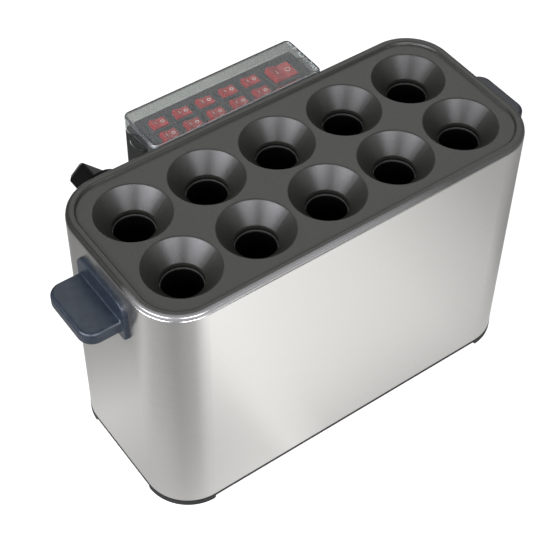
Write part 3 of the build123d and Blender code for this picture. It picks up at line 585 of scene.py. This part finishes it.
def dialMarks():
    group = bpy.data.node_groups.new("dialMarks", "GeometryNodeTree")
    sockets = {}
    group.interface.new_socket("Geometry", in_out="OUTPUT", socket_type="NodeSocketGeometry")
    for label in ("Count", "Radius", "Step", "Start", "Length", "Width", "Lift", "Least", "Growth"):
        kind = "NodeSocketInt" if label == "Count" else "NodeSocketFloat"
        sockets[label] = group.interface.new_socket(label, in_out="INPUT", socket_type=kind).identifier
    given = addNode(group, "NodeGroupInput").outputs
    number = addNode(group, "GeometryNodeInputIndex")

    # each half of the marks is one arc, centred on its side of the knob
    half = addNode(group, "ShaderNodeMath", (given["Count"], 2.0), operation="DIVIDE")
    whole = addNode(group, "ShaderNodeMath", (number, half), operation="DIVIDE")
    arc = addNode(group, "ShaderNodeMath", (whole,), operation="FLOOR")
    inArc = addNode(group, "ShaderNodeMath", (number, half), operation="MODULO")
    last = addNode(group, "ShaderNodeMath", (half, 1.0), operation="SUBTRACT")
    middle = addNode(group, "ShaderNodeMath", (last, 2.0), operation="DIVIDE")
    place = addNode(group, "ShaderNodeMath", (inArc, middle), operation="SUBTRACT")
    side = addNode(group, "ShaderNodeMath", (arc, math.pi, given["Start"]), operation="MULTIPLY_ADD")
    angle = addNode(group, "ShaderNodeMath", (place, given["Step"], side), operation="MULTIPLY_ADD")
    cosine = addNode(group, "ShaderNodeMath", (angle,), operation="COSINE")
    sine = addNode(group, "ShaderNodeMath", (angle,), operation="SINE")
    outward = addNode(group, "ShaderNodeCombineXYZ", {"X": cosine, "Z": sine})
    spot = addNode(group, "ShaderNodeVectorMath", {0: outward, "Scale": given["Radius"]}, operation="SCALE")
    points = addNode(group, "GeometryNodePoints", {"Count": given["Count"], "Position": spot})

    size = addNode(
        group, "ShaderNodeCombineXYZ", {"X": given["Length"], "Y": given["Lift"], "Z": given["Width"]},
    )
    mark = addNode(group, "GeometryNodeMeshCube", {"Size": size})
    back = addNode(group, "ShaderNodeMath", (angle, -1.0), operation="MULTIPLY")
    turn = addNode(group, "ShaderNodeCombineXYZ", {"Y": back})
    heat = addNode(group, "ShaderNodeMath", (number, given["Count"]), operation="DIVIDE")
    longer = addNode(
        group, "ShaderNodeMath", (heat, given["Growth"], given["Least"]), operation="MULTIPLY_ADD",
    )
    wider = addNode(group, "ShaderNodeMath", (longer, dialLook["wider"]), operation="ADD")
    grown = addNode(group, "ShaderNodeCombineXYZ", {"X": longer, "Y": 1.0, "Z": wider})
    copies = addNode(
        group, "GeometryNodeInstanceOnPoints",
        {"Points": points, "Instance": mark, "Rotation": turn, "Scale": grown},
    )
    real = addNode(group, "GeometryNodeRealizeInstances", {"Geometry": copies})
    inked = addNode(group, "GeometryNodeSetMaterial", {"Geometry": real, "Material": whiteInk})
    addNode(group, "NodeGroupOutput", (inked,))
    return group, sockets


def dialMesh():
    group, sockets = dialMarks()
    carrier = bpy.data.objects.new("dialCarrier", bpy.data.meshes.new("dialCarrier"))
    bpy.context.scene.collection.objects.link(carrier)
    modifier = carrier.modifiers.new("dialMarks", "NODES")
    modifier.node_group = group
    pointerAngle = 180.0 - dialLook["grip"]  # the two arcs lie a quarter turn to each side of it
    for label, value in (
        ("Count", dialLook["count"]), ("Radius", dialLook["radius"]), ("Length", dialLook["length"]),
        ("Width", dialLook["width"]), ("Least", dialLook["least"]), ("Growth", dialLook["growth"]),
        ("Step", math.radians(dialLook["step"])), ("Start", math.radians(pointerAngle + 90.0)),
        ("Lift", inkLook["lift"] * 2),
    ):
        modifier[sockets[label]] = value
    bpy.context.view_layer.update()
    evaluated = carrier.evaluated_get(bpy.context.evaluated_depsgraph_get())
    mesh = bpy.data.meshes.new_from_object(evaluated)
    bpy.data.objects.remove(carrier)
    for vertex in mesh.vertices:
        vertex.co += Vector((dialCentre.x, knobLow.y + dialLook["skirt"], dialCentre.z))
    return mesh


addPiece("dial_scale", dialMesh(), "thermostat_knob", whiteInk)

# pointer line on the crown of the knob
pointerLook = {"length": 0.0085, "width": 0.0014, "slit": (0.0035, 0.0001), "out": 0.0098}
grip = math.radians(dialLook["grip"])
along = Vector((-math.cos(grip), 0, math.sin(grip)))
across = along.cross(Vector((0, 1, 0)))
crown = Vector((dialCentre.x, knobHigh.y, dialCentre.z)) + along * pointerLook["out"]
outer = stadiumLine(pointerLook["length"], pointerLook["width"])
mesh = raisedMesh("pointer", outer, stadiumLine(*pointerLook["slit"]), crown, across, along)
addPiece("knob_pointer", mesh, "thermostat_knob", whiteInk)

# index mark on the wall under the knob: a small wedge that points up
indexLook = {"tip": 0.0026, "foot": -0.0022, "half": 0.0024, "below": 0.0035, "slit": 0.1}
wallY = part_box("housing")[1].y
centre = Vector((dialCentre.x, wallY, knobLow.z - indexLook["below"]))
outer = [
    (0.0, indexLook["tip"]), (-indexLook["half"], indexLook["foot"]), (indexLook["half"], indexLook["foot"]),
]
inner = [(x * indexLook["slit"], y * indexLook["slit"]) for x, y in outer]
mesh = raisedMesh("index", outer, inner, centre, Vector((-1, 0, 0)), Vector((0, 0, 1)))
addPiece("dial_index", mesh, "frame", darkInk)
print("dial made")

# pale paper floor: white to the camera but for the object's shadow; to bright metal it glows with
# painted light, brightest in front of the object and falling off round it
floorLook = {
    "size": 8.0,
    "color": "#f4f4f2",
    "lift": 1.45,
    "liftFade": {"from": (1.0, 2.5), "to": (0.5, 1.0)},
    # brightness of the painted glow at each place, in metres along the front and along the left end
    "front": (
        (-0.29, 0.52), (-0.17, 0.60), (-0.12, 0.86), (-0.08, 1.06), (-0.06, 1.36), (-0.03, 1.41),
        (0.05, 1.30), (0.14, 1.22), (0.19, 1.05), (0.25, 0.86), (0.30, 0.62), (0.40, 0.50),
    ),
    "left": (
        (-0.20, 0.50), (-0.05, 0.72), (0.02, 0.97), (0.05, 0.85), (0.08, 0.68), (0.12, 0.58),
        (0.20, 0.44), (0.30, 0.36),
    ),
    "leftOf": (-0.21, -0.15),
    "leftFade": {"from": (-0.36, -0.26), "to": (0.7, 1.0)},
    "nearWall": {"from": (-0.14, -0.02), "to": (1.42, 0.72), "width": (0.09, 0.17)},
    "farOut": {"from": (0.17, 0.38), "to": (1.0, 1.2)},
}


def floorShade(tree, name, along, top):
    # one side's brightness as a ramp, in shares of the brightest place
    steps = floorLook[name]
    start, end = steps[0][0], steps[-1][0]
    share = addNode(tree, "ShaderNodeMapRange", (along, start, end))
    ramp = addNode(tree, "ShaderNodeValToRGB", {"Fac": share})
    stops = ramp.color_ramp.elements
    stops.remove(stops[1])
    for number, (place, level) in enumerate(steps):
        stop = stops[0] if number == 0 else stops.new((place - start) / (end - start))
        stop.position = (place - start) / (end - start)
        stop.color = (level / top, level / top, level / top, 1.0)
    return ramp


def paintedFloorGlow(tree, point):
    # painted light: the glow that bright metal sees in place of the floor
    place = addNode(tree, "ShaderNodeSeparateXYZ", (point,)).outputs
    top = max(level for name in ("front", "left") for spot, level in floorLook[name])
    offset = addNode(
        tree, "ShaderNodeMath", (place["Y"], (plateLow.y + plateHigh.y) / 2), operation="SUBTRACT",
    )
    away = addNode(tree, "ShaderNodeMath", (offset,), operation="ABSOLUTE")
    nearWall, farOut, leftFade = floorLook["nearWall"], floorLook["farOut"], floorLook["leftFade"]
    near = addNode(tree, "ShaderNodeMapRange", (place["X"], *nearWall["from"], *nearWall["to"]))
    shaded = addNode(tree, "ShaderNodeMapRange", (away, *nearWall["width"], near))
    brighter = addNode(tree, "ShaderNodeMapRange", (away, *farOut["from"], *farOut["to"]))
    across = addNode(tree, "ShaderNodeMath", (shaded, brighter), operation="MULTIPLY")
    front = addNode(
        tree, "ShaderNodeVectorMath",
        {0: floorShade(tree, "front", place["X"], top), "Scale": across}, operation="SCALE",
    )
    offLeft = addNode(tree, "ShaderNodeMapRange", (place["X"], *leftFade["from"], *leftFade["to"]))
    left = addNode(
        tree, "ShaderNodeVectorMath",
        {0: floorShade(tree, "left", place["Y"], top), "Scale": offLeft}, operation="SCALE",
    )
    ahead = addNode(tree, "ShaderNodeMapRange", (place["X"], *floorLook["leftOf"]))
    level = addNode(tree, "ShaderNodeMix", {0: ahead, 6: left, 7: front}, data_type="RGBA")
    return addNode(tree, "ShaderNodeEmission", {"Color": level, "Strength": top})


def paleFloor():
    material = bpy.data.materials.new("paleFloor")
    material.use_nodes = True
    tree = material.node_tree
    tree.nodes.clear()
    point = addNode(tree, "ShaderNodeTexCoord").outputs["Object"]
    paper = addNode(tree, "ShaderNodeBsdfDiffuse", {"Color": floorLook["color"]})
    glow = addNode(tree, "ShaderNodeEmission", {"Color": "#ffffff", "Strength": floorLook["lift"]})
    farOff = addNode(tree, "ShaderNodeVectorMath", (point,), operation="LENGTH")
    fade = floorLook["liftFade"]
    fading = addNode(tree, "ShaderNodeMapRange", (farOff, *fade["from"], *fade["to"]))
    lifted = addNode(tree, "ShaderNodeMixShader", (fading, paper, glow))
    plain = addNode(tree, "ShaderNodeMixShader", (plainlySeen(tree), paper, lifted))
    inMirror = addNode(tree, "ShaderNodeLightPath").outputs["Is Glossy Ray"]
    surface = addNode(tree, "ShaderNodeMixShader", (inMirror, plain, paintedFloorGlow(tree, point)))
    addNode(tree, "ShaderNodeOutputMaterial", {"Surface": surface})
    return material


bpy.ops.mesh.primitive_plane_add(size=floorLook["size"], location=(0, 0, 0))
floor = bpy.context.object
floor.name = "floor"
floor.data.materials.append(paleFloor())

# camera of the photograph, fitted to the mouths and the rim
cameraLook = {"place": (-0.51348, -0.68792, 1.07216), "turn": (41.580, -0.770, -35.709), "lens": 93.0}
cameraData = bpy.data.cameras.new("camera")
cameraData.sensor_width = 36.0
cameraData.lens = cameraLook["lens"]
cameraData.clip_start = 0.01
camera = bpy.data.objects.new("camera", cameraData)
camera.location = cameraLook["place"]
camera.rotation_euler = Euler([math.radians(angle) for angle in cameraLook["turn"]])
bpy.context.scene.collection.objects.link(camera)
bpy.context.scene.camera = camera

# soft boxes: front and left shape the cones, right and top lift the far end and the plate
lightLooks = {
    "aim": (0, 0, 0.25), "cool": "#f7f7ff", "plain": "#ffffff",
    "boxes": (
        {"name": "frontBox", "place": (-0.27, -1.13, 0.93), "size": (0.88, 0.5), "watts": 17.0, "cool": True},
        {"name": "leftBox", "place": (-1.45, -0.22, 1.02), "size": (1.5, 0.6), "watts": 39.0, "cool": True},
        {"name": "rightBox", "place": (0.75, -0.95, 0.75), "size": (0.7, 0.5), "watts": 0.8, "cool": False},
        {"name": "topBox", "place": (0.8, 1.05, 1.55), "size": (1.6, 1.4), "watts": 8.6, "cool": False},
    ),
    "room": 0.24,
}
for look in lightLooks["boxes"]:
    data = bpy.data.lights.new(look["name"], "AREA")
    data.shape = "RECTANGLE"
    data.size, data.size_y = look["size"]
    data.energy = look["watts"]
    data.color = toLinear(lightLooks["cool" if look["cool"] else "plain"])[:3]
    light = bpy.data.objects.new(look["name"], data)
    light.location = look["place"]
    light.rotation_euler = (Vector(lightLooks["aim"]) - light.location).to_track_quat("-Z", "Y").to_euler()
    light.visible_camera = False
    bpy.context.scene.collection.objects.link(light)

# the room: dim light on the object, plain white to the camera
world = bpy.data.worlds.new("studio")
bpy.context.scene.world = world
world.use_nodes = True
tree = world.node_tree
tree.nodes.clear()
room = addNode(tree, "ShaderNodeBackground", {"Color": "#ffffff", "Strength": lightLooks["room"]})
white = addNode(tree, "ShaderNodeBackground", {"Color": "#ffffff", "Strength": 1.0})
both = addNode(tree, "ShaderNodeMixShader", (plainlySeen(tree), room, white))
addNode(tree, "ShaderNodeOutputWorld", {"Surface": both})
bpy.context.scene.view_settings.view_transform = "Standard"
print("stage set")
